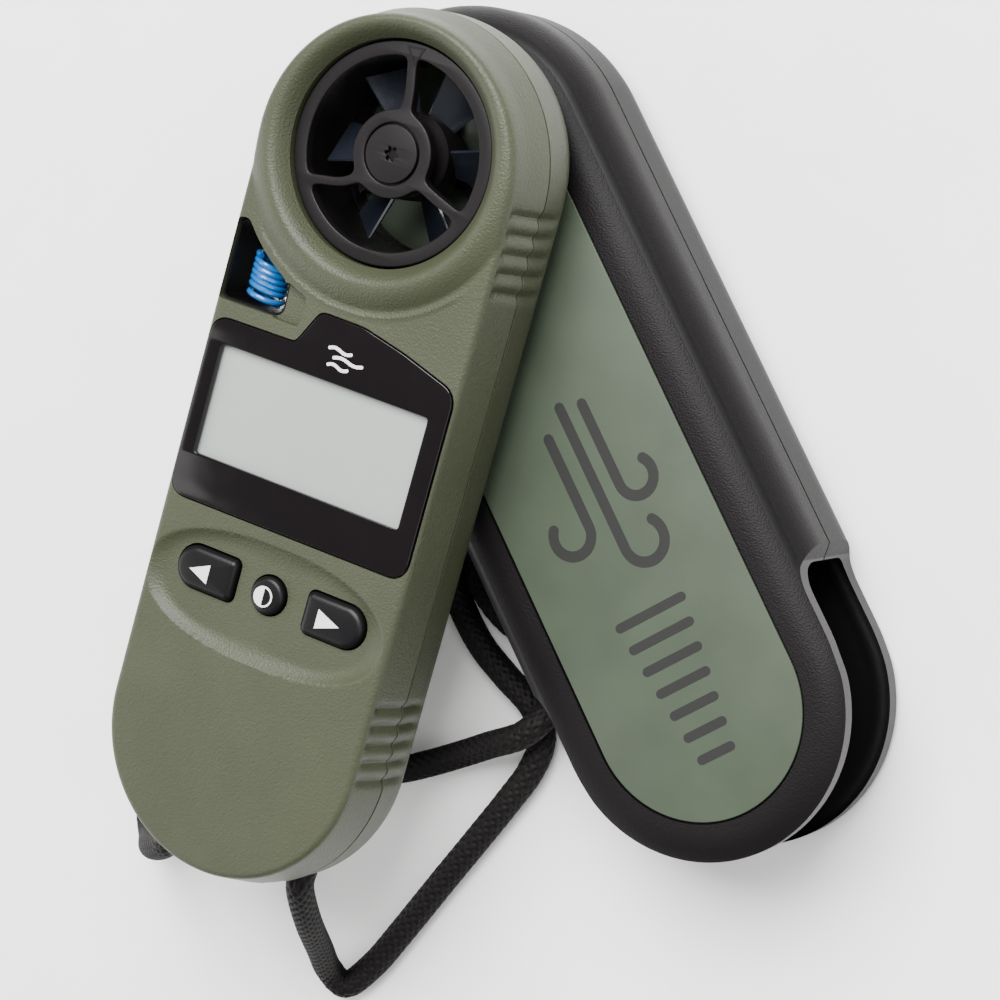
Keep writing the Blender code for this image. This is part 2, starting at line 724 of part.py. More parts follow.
def lanyard():
    hank_right = HANK_AT[0] + HANK_END_R + GAP
    hank_middle = sum(HANK_Z) / 2
    heading = Vector((math.cos(HANK_EXIT), math.sin(HANK_EXIT)))
    lower_end = Vector((HANK_AT[0], HANK_AT[1] - HANK_STRAIGHT / 2))
    hank_exit = lower_end + heading * (HANK_END_R + GAP)
    past_exit = hank_exit + heading * 5.4
    out_of_right_hole = [
        (10.8, -95.8, -8.3),
        (10.8, -99.6, -8.6),
        (9.9, -106.1, -15.5),
        (8.2, -112.8, -25.0),
        (7.4, -117.6, -31.4),
        (9.6, -119.7, CORD_Z),
        (12.9, -115.2, CORD_Z),
        (15.6, -109.4, CORD_Z),
        (19.7, -99.8, CORD_Z),
        (23.3, -91.5, CORD_Z),
        (26.4, -84.2, CORD_Z),
        (28.4, -78.8, CORD_Z),
        (28.7, -74.0, CORD_Z),
        (25.9, -70.1, CORD_Z),
        (20.6, -67.6, CORD_Z),
        (13.6, -66.2, CORD_Z + 0.6),
        (8.5, -66.0, hank_middle - 0.1),
        (hank_right, -66.0, hank_middle),
    ]
    # The return strand leaves the hank, crosses over the first one as it folds back, and runs
    # round the hank to the left hole.
    back_to_left_hole = [
        (*hank_exit, hank_middle),
        (*past_exit, hank_middle - 0.1),
        (13.6, -83.9, CORD_Z + 1.8),
        (18.3, -79.9, CORD_Z + 1.2),
        (22.6, -76.8, CORD_Z + 3.0),
        (25.9, -74.6, CORD_Z + 4.3),
        (27.6, -73.2, CORD_Z + 4.4),
        (29.3, -70.8, CORD_Z + 4.2),
        (30.1, -67.8, CORD_Z + 2.6),
        (29.0, -64.5, CORD_Z + 0.8),
        (26.8, -62.2, CORD_Z),
        (23.6, -60.8, CORD_Z),
        (19.4, -60.0, CORD_Z),
        (15.2, -57.9, CORD_Z),
        (11.4, -54.2, CORD_Z),
        (6.6, -45.0, CORD_Z),
        (-2.8, -34.6, CORD_Z),
        (-14.0, -31.0, CORD_Z),
        (-26.0, -36.0, CORD_Z),
        (-31.8, -48.0, CORD_Z),
        (-31.9, -70.0, CORD_Z),
        (-32.0, -90.0, CORD_Z),
        (-31.7, -101.5, CORD_Z),
        (-29.8, -107.6, CORD_Z + 0.3),
        (-25.8, -109.2, -29.3),
        (-18.6, -106.4, -17.8),
        (-12.2, -102.4, -10.0),
        (-10.8, -99.0, -8.3),
        (-10.8, -95.8, -8.3),
    ]
    tube("lanyard_cord", smooth_route(out_of_right_hole, 4.4), CORD_R, "cord")
    tube("lanyard_cord_return", smooth_route(back_to_left_hole, 5.2), CORD_R, "cord")
    x, y = HANK_AT
    outline = stadium(HANK_END_R, (x, y + HANK_STRAIGHT / 2), HANK_STRAIGHT)
    prism("lanyard_hank", outline, *HANK_Z, "cord")
    inner = HANK_END_R + GAP
    outer = inner + TIE_THICKNESS
    low, high = HANK_Z[0] - GAP, HANK_Z[1] + GAP
    tie_z = (low - TIE_THICKNESS, high + TIE_THICKNESS)
    tie = box("hank_tie", (x - outer, x + outer), (y + 3, y + 9), tie_z, "seal_rubber")
    cut(tie, box("tie_core", (x - inner, x + inner), (y, y + 20), (low, high)))


clear_scene()
PARTS = collection("weather_meter")
CUTTERS = collection("cutters")
METER = frame_empty("meter_frame", METER_ORIGIN)
COVER_ORIGIN = Vector(METER_ORIGIN) + Vector((*COVER_AT, COVER_FACE_Z))
COVER = frame_empty("cover_frame", COVER_ORIGIN, COVER_TURN)

HOLES = through_cutters()
front_housing(HOLES)
rear_housing(HOLES)
housing_hardware()
impeller_frames()
impeller_bearings()
impeller_rotor()
sensor_coil()
display()
keypad()
electronics()
battery()
cover()
lanyard()
finish_parts()
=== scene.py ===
"""The looks of the pocket weather meter, its hard cover and its neck lanyard.

Shapes are drawn in millimetres, in the meter's frame or the cover's, and moved to the CAD
model's place as they are finished. The meter's origin is the centre of its rounded impeller
end at the height of the face's shoulder; +Y points to that end and +Z out of the face.
"""

import json
import math

import bmesh
import bpy
import numpy as np
from mathutils import Matrix, Vector


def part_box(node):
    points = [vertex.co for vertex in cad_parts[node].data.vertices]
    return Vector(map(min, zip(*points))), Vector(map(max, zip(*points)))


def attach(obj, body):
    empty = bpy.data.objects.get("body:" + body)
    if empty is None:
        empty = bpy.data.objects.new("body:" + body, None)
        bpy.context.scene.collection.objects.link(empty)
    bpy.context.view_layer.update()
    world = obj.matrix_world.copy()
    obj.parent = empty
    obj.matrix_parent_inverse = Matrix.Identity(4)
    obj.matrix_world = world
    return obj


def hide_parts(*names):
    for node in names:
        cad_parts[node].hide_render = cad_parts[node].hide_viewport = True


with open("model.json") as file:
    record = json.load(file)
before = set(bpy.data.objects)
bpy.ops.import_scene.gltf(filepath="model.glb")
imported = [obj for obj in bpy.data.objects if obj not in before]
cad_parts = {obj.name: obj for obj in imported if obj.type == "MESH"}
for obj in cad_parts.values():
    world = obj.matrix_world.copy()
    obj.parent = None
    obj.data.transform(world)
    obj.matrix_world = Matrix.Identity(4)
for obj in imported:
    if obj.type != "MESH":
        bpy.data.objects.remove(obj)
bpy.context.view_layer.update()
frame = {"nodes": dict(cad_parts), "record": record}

MM = 0.001
FRONT_BEZEL_Z = 3.6
HOUSING_LOW, HOUSING_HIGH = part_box("front_housing")
BODY_R = (HOUSING_HIGH.x - HOUSING_LOW.x) / 2 / MM
BODY_SPAN = (HOUSING_HIGH.y - HOUSING_LOW.y) / MM - 2 * BODY_R
ORIGIN = Vector(
    (
        (HOUSING_LOW.x + HOUSING_HIGH.x) / 2,
        HOUSING_HIGH.y - BODY_R * MM,
        HOUSING_HIGH.z - FRONT_BEZEL_Z * MM,
    )
)
METER = Matrix.Translation(ORIGIN) @ Matrix.Scale(MM, 4)
GROUND_Z = -ORIGIN.z / MM

# Housing
FACE_Z, SEAM_Z, BACK_Z = 2.2, -4.4, -12.2
SEAM_GAP = 0.3
BACK_RIM = 3.2
REAR_BEZEL_HEIGHT = 2.2
RIBS_AT = (-11.6, -79.4)  # the lowest groove of the upper and of the lower grip ribs
RIB_PITCH = 2.6
RIB_GROOVES = 5
RIB_DEPTH = 0.5
SCOOP_AT, SCOOP_HALF, SCOOP_DEPTH, SCOOP_SLOPE = (-0.4, -61.5), (19.0, 8.4), 0.95, 3.0
SCREWS_AT = ((17.2, -22.4), (-5.6, -22.2), (16.2, -86.6), (-16.2, -86.6))
SCREW_RECESS_R, SCREW_RECESS_DEPTH = 2.0, 2.1
CELL_AT = (0.0, -71.0)
CELL_BAY_R, DOOR_BAY_R, DOOR_LEDGE_Z = 10.6, 11.6, -10.0
LANYARD_HOLE_R, LANYARD_HOLE_X, LANYARD_HOLE_Z, LANYARD_BAR_Y = 2.4, 10.8, -8.3, -94.5
BELOW, ABOVE = -20.0, 10.0  # a cutter between these heights goes right through the meter

# Display and keys
DISPLAY_AT = (-0.3, -37.35)
DISPLAY_SIZE = (32.9, 15.4)
LENS_LOW, LENS_TOP, LENS_EDGE = 1.5, 2.38, 0.16
LCD_SIZE = (34.6, 18.6)
LCD_LOW, LCD_TOP = 0.5, 1.25
KEYS_Y, MIDDLE_KEY_X, MIDDLE_KEY_R = -60.0, -0.3, 2.6
KEY_LOW, KEY_TOP, KEY_DOME = -0.6, 2.4, 0.12
KEY_GAP = 0.28

# Impeller
IMPELLER_AT = (0.0, 1.5)
BORE_R, DUCT_R, DUCT_INNER_R = 15.1, 14.8, 12.9
DUCT_TOP, DUCT_LOW = 0.2, -10.0
GRILLE_HUB_R, SPOKE_HALF_WIDTH = 5.9, 0.7
SPOKES = ((93.0, 87.0), (211.0, 226.0), (336.0, 333.0))  # angles at the ring and at the hub
BLADES, FIRST_BLADE, BLADE_PITCH = 6, math.radians(5.5), math.radians(40)
ROTOR_HUB_R, BLADE_TIP_R, ROTOR_Z = 5.9, 12.25, -6.0

# Temperature probe
COIL_AT = Vector((-14.9, -19.8, -2.6))
COIL_R, COIL_WIRE_R = 2.35, 0.42

# Cover
COVER_AT = Vector((0.2, -0.3, -14.7))
COVER_TURN = math.radians(45)
COVER_R, COVER_THICKNESS, COVER_SEAM, LIP_R, INLAY_R = 23.2, 21.4, -10.0, 20.5, 15.0
COVER_SKIN, CAVITY_R, CAVITY_RIM = 1.5, 21.4, 4.8
COVER_FACE_RIM, COVER_BACK_RIM = 6.6, 6.0
CUTAWAY_Y, CUTAWAY_REACH = -67.5, 40.0
COVER = METER @ Matrix.Translation(COVER_AT) @ Matrix.Rotation(COVER_TURN, 4, "Z")

# Lanyard
CORD_R = 2.0
CORD_Z = GROUND_Z + CORD_R + 0.05
BRAID_STRANDS, BRAID_PITCH, BRAID_RELIEF = 10, 1.5, 0.17
HANK_AT = (-12.0, -66.0)
HANK_STRAIGHT = 27.6
HANK_OUTER = 14.1
HANK_LOW = GROUND_Z + 1.15 + CORD_R
HANK_RISE = 4.05


# ---------------------------------------------------------------- camera


def camera():
    """Above the meter's right edge, with the impeller end up and a little to the left."""
    right = Vector((0.8509, 0.2664, -0.4528))
    up = Vector((-0.3196, 0.9466, -0.0437))
    back = right.cross(up).normalized()
    up = back.cross(right)
    data = bpy.data.cameras.new("camera")
    data.sensor_width = 36.0
    data.lens = 113.8
    obj = bpy.data.objects.new("camera", data)
    turn = Matrix((right, up, back)).transposed().to_4x4()
    obj.matrix_world = Matrix.Translation(METER @ Vector((199.14, 37.68, 365.08))) @ turn
    bpy.context.scene.collection.objects.link(obj)
    bpy.context.scene.camera = obj


# ---------------------------------------------------------------- materials


def node(tree, kind, **inputs):
    made = tree.nodes.new(kind)
    for name, value in inputs.items():
        made.inputs[name].default_value = value
    return made


def surface(name, colour, roughness, grain=0.3, depth=0.01, cells=False, mottle=0.06, **shader):
    """A moulded or worked surface: grain size and depth in millimetres, and faint mottling."""
    made = bpy.data.materials.new(name)
    made.use_nodes = True
    tree = made.node_tree
    principled = tree.nodes["Principled BSDF"]
    principled.inputs["Base Color"].default_value = (*colour, 1.0)
    for key, value in shader.items():
        principled.inputs[key.replace("_", " ")].default_value = value
    place = tree.nodes.new("ShaderNodeTexCoord")
    broad = node(tree, "ShaderNodeTexNoise", Scale=90.0, Detail=3.0)
    tree.links.new(place.outputs["Object"], broad.inputs["Vector"])
    ramp = tree.nodes.new("ShaderNodeValToRGB")
    ramp.color_ramp.elements[0].position = 0.35
    ramp.color_ramp.elements[1].position = 0.65
    ramp.color_ramp.elements[0].color = (*[c * (1 - mottle) for c in colour], 1.0)
    ramp.color_ramp.elements[1].color = (*[min(1.0, c * (1 + mottle)) for c in colour], 1.0)
    tree.links.new(broad.outputs["Fac"], ramp.inputs["Fac"])
    tree.links.new(ramp.outputs["Color"], principled.inputs["Base Color"])
    if cells:
        fine = node(tree, "ShaderNodeTexVoronoi", Scale=1 / (grain * MM))
        fine.feature = "SMOOTH_F1"
        height = fine.outputs["Distance"]
    else:
        fine = node(tree, "ShaderNodeTexNoise", Scale=1 / (grain * MM), Detail=2.0)
        height = fine.outputs["Fac"]
    tree.links.new(place.outputs["Object"], fine.inputs["Vector"])
    spread = node(tree, "ShaderNodeMapRange")
    spread.inputs["To Min"].default_value = max(0.02, roughness - 0.05)
    spread.inputs["To Max"].default_value = min(1.0, roughness + 0.05)
    tree.links.new(fine.outputs["Distance" if cells else "Fac"], spread.inputs["Value"])
    tree.links.new(spread.outputs["Result"], principled.inputs["Roughness"])
    bump = node(tree, "ShaderNodeBump", Strength=1.0, Distance=depth * MM)
    bump.invert = cells
    tree.links.new(height, bump.inputs["Height"])
    tree.links.new(bump.outputs["Normal"], principled.inputs["Normal"])
    return made


OLIVE = (0.0305, 0.0345, 0.0180)
INLAY_GREEN = (0.0385, 0.0505, 0.0335)
DULL = {"Specular_IOR_Level": 0.3}
DIM = {"Specular_IOR_Level": 0.18}
FAINT = {"Specular_IOR_Level": 0.11}
LOOKS = {
    "olive_shell": surface("olive_shell", OLIVE, 0.46, 0.32, 0.09, **DULL),
    "black_plastic": surface("black_plastic", (0.0040, 0.0031, 0.0034), 0.42, 0.25, 0.010, **DIM),
    "grained_black": surface("grained_black", (0.0046, 0.0037, 0.0039), 0.50, 0.22, 0.05, True, **FAINT),
    # Smooth black plastic for the duct, the hub core and the cover's inside; the same near-black also
    # paints the shade on the sheet inside the probe's opening.
    "smooth_black_and_painted_shade": surface("smooth_black_and_painted_shade", (0.0016, 0.0013, 0.0014), 0.40, 0.4, 0.004, **DIM),
    "key_rubber": surface("key_rubber", (0.0028, 0.0028, 0.0032), 0.36, 0.2, 0.006, **DIM),
    "lens": surface("lens", (0.0032, 0.0022, 0.0028), 0.12, 3.0, 0.001, **DULL),
    "lcd": surface("lcd", (0.25, 0.275, 0.255), 0.30, 0.15, 0.001, mottle=0.02),
    "white_plastic": surface("white_plastic", (0.60, 0.60, 0.58), 0.40, 0.3, 0.004),
    "white_print": surface("white_print", (0.62, 0.62, 0.61), 0.55, 0.2, 0.002, mottle=0.02),
    "board": surface("board", (0.01, 0.09, 0.04), 0.40, 0.6, 0.01, mottle=0.15),
    "steel": surface("steel", (0.45, 0.45, 0.45), 0.30, 0.15, 0.003, Metallic=1.0),
    "blade": surface("blade", (0.006, 0.0075, 0.011), 0.20, 0.8, 0.004, Specular_IOR_Level=0.6),
    "jewel": surface("jewel", (0.30, 0.01, 0.03), 0.10, 0.5, 0.001),
    "blue_wire": surface("blue_wire", (0.004, 0.085, 0.270), 0.28, 0.5, 0.003, Coat_Weight=0.4),
    "cover_inlay": surface("cover_inlay", INLAY_GREEN, 0.40, 0.25, 0.006, mottle=0.08, **DULL),
    "inlay_mark": surface("inlay_mark", (0.012, 0.012, 0.011), 0.45, 0.25, 0.006, **DULL),
    "seal_rubber": surface("seal_rubber", (0.01, 0.01, 0.01), 0.70, 0.2, 0.006),
    "cord": surface("cord", (0.0040, 0.0029, 0.0028), 0.60, 0.14, 0.05, mottle=0.3, **DIM),
}


# ---------------------------------------------------------------- building


def finish(obj, name, look, body, matrix=METER, stands_for=(), smooth=21):
    """Moves a finished shape to its place and says what it rides on and stands for."""
    obj.name = name
    obj.data.transform(matrix)
    obj.data.materials.clear()
    obj.data.materials.append(LOOKS[look])
    obj.data.shade_smooth()
    obj.data.set_sharp_from_angle(angle=math.radians(smooth))
    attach(obj, body)
    if stands_for:
        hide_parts(*stands_for)
    return obj


def new_object(mesh):
    obj = bpy.data.objects.new(mesh.name, mesh)
    bpy.context.scene.collection.objects.link(obj)
    return obj


def baked(obj):
    """The object with its modifiers made real, or a curve as a closed mesh."""
    graph = bpy.context.evaluated_depsgraph_get()
    mesh = bpy.data.meshes.new_from_object(obj.evaluated_get(graph))
    bm = bmesh.new()
    bm.from_mesh(mesh)
    bmesh.ops.remove_doubles(bm, verts=bm.verts, dist=1e-4)
    bm.to_mesh(mesh)
    bm.free()
    bpy.data.objects.remove(obj, do_unlink=True)
    return new_object(mesh)


def carved(obj, cutters):
    """The object less the cutters, which are used up."""
    for cutter in cutters:
        modifier = obj.modifiers.new(cutter.name, "BOOLEAN")
        modifier.operation = "DIFFERENCE"
        modifier.object = cutter
    made = baked(obj)
    for cutter in cutters:
        bpy.data.objects.remove(cutter, do_unlink=True)
    return made


def plate(outlines, low, high, edge=0.0, edge_steps=3):
    """A flat piece: the first outline, less the others, with rounded edges."""
    curve = bpy.data.curves.new("plate", "CURVE")
    curve.dimensions = "2D"
    curve.fill_mode = "BOTH"
    curve.extrude = (high - low) / 2 - edge
    curve.bevel_depth = edge
    curve.bevel_resolution = edge_steps
    curve.offset = -edge
    for outline in outlines:
        spline = curve.splines.new("POLY")
        spline.points.add(len(outline) - 1)
        for point, (x, y) in zip(spline.points, outline):
            point.co = (x, y, 0.0, 1.0)
        spline.use_cyclic_u = True
    obj = bpy.data.objects.new("plate", curve)
    bpy.context.scene.collection.objects.link(obj)
    obj = baked(obj)
    obj.data.transform(Matrix.Translation((0, 0, (low + high) / 2)))
    bm = bmesh.new()
    bm.from_mesh(obj.data)
    bmesh.ops.recalc_face_normals(bm, faces=bm.faces)
    bm.to_mesh(obj.data)
    bm.free()
    return obj


def loft(rings):
    """A closed solid through rings of points, each with the same number of points."""
    rings = [[tuple(p) for p in ring] for ring in rings]
    count = len(rings[0])
    bm = bmesh.new()
    rows = [[bm.verts.new(p) for p in ring] for ring in rings]
    for lower, upper in zip(rows, rows[1:]):
        for i in range(count):
            j = (i + 1) % count
            bm.faces.new((lower[i], lower[j], upper[j], upper[i]))
    bm.faces.new(rows[0][::-1])
    bm.faces.new(rows[-1])
    bmesh.ops.remove_doubles(bm, verts=bm.verts, dist=1e-5)
    bmesh.ops.recalc_face_normals(bm, faces=bm.faces)
    mesh = bpy.data.meshes.new("loft")
    bm.to_mesh(mesh)
    bm.free()
    return new_object(mesh)


def around(centre, radius, angle):
    """The point at a radius and an angle from the centre."""
    return centre[0] + radius * math.cos(angle), centre[1] + radius * math.sin(angle)


def turned(profile, centre, steps=96):
    """A closed ring or a disc, from (radius, height) points, outer side first and downwards."""
    bm = bmesh.new()
    columns = []
    for i in range(steps):
        angle = 2 * math.pi * i / steps
        column = []
        for radius, z in profile:
            column.append(bm.verts.new((*around(centre, radius, angle), z)))
        columns.append(column)
    for i in range(steps):
        here, after = columns[i], columns[(i + 1) % steps]
        for j in range(len(profile)):
            k = (j + 1) % len(profile)
            bm.faces.new((here[j], here[k], after[k], after[j]))
    bmesh.ops.remove_doubles(bm, verts=bm.verts, dist=1e-5)
    bmesh.ops.dissolve_degenerate(bm, edges=bm.edges, dist=1e-6)
    bmesh.ops.recalc_face_normals(bm, faces=bm.faces)
    mesh = bpy.data.meshes.new("turned")
    bm.to_mesh(mesh)
    bm.free()
    return new_object(mesh)


def drum(centre, radius, low, high, steps=96):
    """A closed cylinder that stands on the face's plane."""
    ring = [around(centre, radius, 2 * math.pi * i / steps) for i in range(steps)]
    return loft([[(x, y, low) for x, y in ring], [(x, y, high) for x, y in ring]])


def arc(centre, radius, start, end, steps):
    """Points along an arc between two angles in degrees."""
    angles = [math.radians(start + (end - start) * i / steps) for i in range(steps + 1)]
    return [around(centre, radius, angle) for angle in angles]


def circle(centre, radius, steps):
    """The closed outline of a circle, without a second point at its start."""
    return arc(centre, radius, 0, 360 - 360 / steps, steps - 1)


def stadium(radius, steps=60):
    """The outline of two half circles, one body span apart, and their tangents."""
    return arc((0, 0), radius, 0, 180, steps) + arc((0, -BODY_SPAN), radius, 180, 360, steps)


def rectangle(centre, width, height):
    """Four corners, anticlockwise."""
    signs = ((1, 1), (-1, 1), (-1, -1), (1, -1))
    return [(centre[0] + sx * width / 2, centre[1] + sy * height / 2) for sx, sy in signs]


def evenly(outline, spacing):
    """The closed outline, with points that far apart."""
    points = np.array([*outline, outline[0]], float)
    lengths = np.concatenate([[0], np.cumsum(np.hypot(*np.diff(points, axis=0).T))])
    at = np.linspace(0, lengths[-1], max(8, round(lengths[-1] / spacing)), endpoint=False)
    return np.stack([np.interp(at, lengths, points[:, i]) for i in (0, 1)], axis=1)


def softened(outline, spacing=0.25, passes=8):
    """The closed outline with rounded corners: each pass averages neighbouring points."""
    points = evenly(outline, spacing)
    for _ in range(passes):
        points = (np.roll(points, 1, 0) + 2 * points + np.roll(points, -1, 0)) / 4
    return [tuple(p) for p in points]


def grown(outline, by):
    """The outline moved outwards along its normals. It runs anticlockwise."""
    points = np.array(outline, float)
    along = np.roll(points, -1, 0) - np.roll(points, 1, 0)
    along /= np.hypot(*along.T)[:, None]
    return [tuple(p) for p in points + by * np.stack([along[:, 1], -along[:, 0]], axis=1)]


def smoothstep(value):
    """0 up to 0 and 1 from 1, with a smooth rise between."""
    value = np.clip(value, 0.0, 1.0)
    return value * value * (3 - 2 * value)


def stadium_sweep(profile, arc_steps=90, straight_step=0.5, shape=None):
    """A stadium-shaped solid. The profile's (radius, height) points run from the middle of
    the top over the edge to the middle of the bottom, and shape may move each point."""
    straight_steps = round(BODY_SPAN / straight_step)
    spine, outward = [], []
    for i in range(arc_steps):
        angle = math.pi * i / arc_steps
        spine.append((0.0, 0.0))
        outward.append((math.cos(angle), math.sin(angle)))
    for i in range(straight_steps):
        spine.append((0.0, -BODY_SPAN * i / straight_steps))
        outward.append((-1.0, 0.0))
    for i in range(arc_steps):
        angle = math.pi * (1 + i / arc_steps)
        spine.append((0.0, -BODY_SPAN))
        outward.append((math.cos(angle), math.sin(angle)))
    for i in range(straight_steps):
        spine.append((0.0, -BODY_SPAN * (1 - i / straight_steps)))
        outward.append((1.0, 0.0))
    spine, outward = np.array(spine), np.array(outward)
    rows = []
    for radius, height in profile:
        radii = np.full(len(spine), float(radius))
        heights = np.full(len(spine), float(height))
        if shape:
            radii, heights = shape(spine, outward, radii, heights)
        xy = spine + outward * radii[:, None]
        rows.append(np.column_stack([xy, heights]))
    count, size = len(rows), len(spine)
    faces = []
    for j in range(count - 1):
        for i in range(size):
            k = (i + 1) % size
            faces.append((j * size + i, (j + 1) * size + i, (j + 1) * size + k, j * size + k))
    mesh = bpy.data.meshes.new("sweep")
    mesh.from_pydata(np.concatenate(rows).tolist(), [], faces)
    bm = bmesh.new()
    bm.from_mesh(mesh)
    bmesh.ops.remove_doubles(bm, verts=bm.verts, dist=1e-4)
    loose = [edge for edge in bm.edges if not edge.link_faces]
    bmesh.ops.delete(bm, geom=loose, context="EDGES")
    bmesh.ops.recalc_face_normals(bm, faces=bm.faces)
    bm.to_mesh(mesh)
    bm.free()
    return new_object(mesh)


def front_profile(step=0.3, rim=0.9, edge_r=18.74):
    """From the middle of the face over its tight rim and down the sloping side to the seam."""
    rows = round(edge_r / step)
    profile = [(edge_r * i / rows, FACE_Z) for i in range(rows)]
    steps, turn = 6, math.radians(76)
    for i in range(steps + 1):
        angle = turn * i / steps
        profile.append((edge_r + rim * math.sin(angle), FACE_Z - rim * (1 - math.cos(angle))))
    edge, lip, wall_rows = SEAM_Z + SEAM_GAP / 2, 0.05, 10
    (r, z), end = profile[-1], edge + lip
    for i in range(1, wall_rows + 1):
        profile.append((r + (BODY_R - r) * i / wall_rows, z + (end - z) * i / wall_rows))
    return profile + [(BODY_R - lip, edge), (BODY_R * 0.5, edge), (0.0, edge)]


def half_profile(radius, edge_z, face_z, rim, step, wall_rows=4, lip=0.05):
    """From the middle of a face out over its rounded rim and down the wall to the edge."""
    up = 1 if face_z > edge_z else -1
    flat = radius - rim
    rows, rim_steps = round(flat / step), 8
    profile = [(flat * i / rows, face_z) for i in range(rows)]
    for i in range(rim_steps + 1):
        angle = math.pi / 2 * i / rim_steps
        profile.append((flat + rim * math.sin(angle), face_z - up * rim * (1 - math.cos(angle))))
    start = face_z - up * rim
    end = edge_z + up * lip
    profile += [(radius, start + (end - start) * i / wall_rows) for i in range(1, wall_rows + 1)]
    profile += [(radius - lip, edge_z), (radius * 0.5, edge_z), (0.0, edge_z)]
    return profile


# ---------------------------------------------------------------- housing


def rib_grooves(y):
    """1 in the middle of each groove between the grip ribs, and 0 away from them."""
    grooves = np.zeros_like(y)
    for lowest in RIBS_AT:
        turn = (y - lowest) / RIB_PITCH
        nearest = np.clip(np.round(turn), 0, RIB_GROOVES - 1)
        grooves += np.exp(-(((turn - nearest) / 0.26) ** 2))
    return grooves


def bezel(q, crest, foot, height, drop):
    """The height of the raised ring round the bore, at a distance from the bore's axis."""
    outer = height * np.cos(math.pi / 2 * np.clip((q - crest) / (foot - crest), 0, 1))
    into = np.clip((crest - q) / (crest - BORE_R + 0.3), 0, 1)
    inner = height - drop * (1 - np.cos(math.pi / 2 * into))
    return np.where(q > crest, outer, inner)


def scoop(xy):
    """The depth of the shallow dish round the keys: a crisp outer edge and a level floor."""
    offset = xy - np.array(SCOOP_AT)
    squareness = 2.3
    share = (np.abs(offset / np.array(SCOOP_HALF)) ** squareness).sum(axis=1) ** (1 / squareness)
    share = np.maximum(share, 1e-3)
    inside = (1 / share - 1) * np.hypot(*offset.T)
    slope = np.clip(1 - inside / SCOOP_SLOPE, 0, 1)
    return np.where(share < 1, SCOOP_DEPTH * (1 - slope**2), 0.0)


def front_shape(spine, outward, radii, heights):
    """The front shell's bezel, the step round it, the dish of the keys and the grip ribs."""
    if radii[0] < BODY_R - 1 and heights[0] < SEAM_Z + 0.5:
        return radii, heights
    xy = spine + outward * radii[:, None]
    offset = xy - np.array(IMPELLER_AT)
    q = np.hypot(*offset.T)
    below = smoothstep((-offset[:, 1] / np.maximum(q, 1) - 0.62) / 0.12)
    relief = bezel(q, 17.4, 20.6, FRONT_BEZEL_Z - FACE_Z, 2.5)
    relief += 0.16 * np.exp(-(((q - 21.5) / 0.28) ** 2)) * below - scoop(xy)
    on_face = smoothstep((heights - (FACE_Z - 2.4)) / 1.6)
    groove = rib_grooves(spine[:, 1] + outward[:, 1] * BODY_R)
    depth = RIB_DEPTH * smoothstep((FACE_Z - 0.7 - heights) / 0.9)
    return radii - groove * depth, heights + relief * on_face


def rear_shape(spine, outward, radii, heights):
    """The rear shell's bezel and its grip ribs."""
    if radii[0] < BODY_R - 1 and heights[0] > SEAM_Z - 0.5:
        return radii, heights
    xy = spine + outward * radii[:, None]
    q = np.hypot(*(xy - np.array(IMPELLER_AT)).T)
    relief = bezel(q, 17.0, 20.4, REAR_BEZEL_HEIGHT, 2.4)
    on_face = smoothstep(((BACK_Z + 3.0) - heights) / 2.0)
    groove = rib_grooves(spine[:, 1] + outward[:, 1] * BODY_R)
    depth = RIB_DEPTH * smoothstep((heights - BACK_Z - 2.2) / 2.0)
    return radii - groove * depth, heights - relief * on_face


# The probe's opening: an arc round the bezel's foot, and three sides
WINDOW = list(reversed(arc(IMPELLER_AT, 22.4, 218.0, 244.5, 12))) + [
    (-19.5, -12.7),
    (-19.5, -23.9),
    (-10.2, -23.9),
    (-9.4, -23.0),
]

# The lens: rounded corners, and an upper edge that steps down beside the probe's opening
LENS = [
    *arc((16.8, -49.1), 2.2, 270, 360, 10),
    *arc((16.4, -27.3), 2.6, 0, 62, 8),
    (10.3, -22.8),
    (3.6, -21.3),
    *arc((-2.7, -22.2), 1.0, 95, 170, 5),
    (-5.9, -26.2),
    *arc((-16.8, -28.5), 2.2, 90, 180, 10),
    *arc((-16.8, -49.1), 2.2, 180, 270, 10),
]

# The room inside for the board and the cell: the right side from the bottom, and its mirror
BAY_RIGHT = [(13.2, -89.8), (13.2, -83.5), (18.2, -82.0), (18.2, -26.5)]
BAY = BAY_RIGHT + [(-x, y) for x, y in reversed(BAY_RIGHT)]


def arrow_key(side):
    """The outline of a side key: square towards the middle and round outside."""
    inner, outer, half, corner = 5.7, 15.1, 2.95, 0.9
    outline = arc((outer - half, KEYS_Y), half, -90, 90, 24)
    outline += arc((inner + corner, KEYS_Y + half - corner), corner, 90, 180, 5)
    outline += arc((inner + corner, KEYS_Y - half + corner), corner, 180, 270, 5)
    if side > 0:
        return outline
    return [(-x, y) for x, y in reversed(outline)]


def round_key():
    return circle((MIDDLE_KEY_X, KEYS_Y), MIDDLE_KEY_R, 60)


def lying_drum(start, end, radius):
    """A closed cylinder from one point to another."""
    start, end = Vector(start), Vector(end)
    obj = drum((0, 0), radius, 0, (end - start).length, 32)
    turn = (end - start).to_track_quat("Z", "Y").to_matrix().to_4x4()
    obj.data.transform(Matrix.Translation(start) @ turn)
    return obj


def lanyard_holes():
    """Cutters for two bores in the bottom edge that meet behind a bar, and for their mouths."""
    x, bar, z = LANYARD_HOLE_X, LANYARD_BAR_Y, LANYARD_HOLE_Z
    holes = [lying_drum((-x, bar, z), (x, bar, z), LANYARD_HOLE_R)]
    for side in (-1, 1):
        holes.append(lying_drum((side * x, bar, z), (side * x, bar - 9, z), LANYARD_HOLE_R))
        mouth = rectangle((side * x, bar - 6.5), 6.4, 6.0)
        holes.append(plate([softened(mouth, 0.4, 6)], SEAM_Z - 1.6, SEAM_Z + 0.9))
    return holes


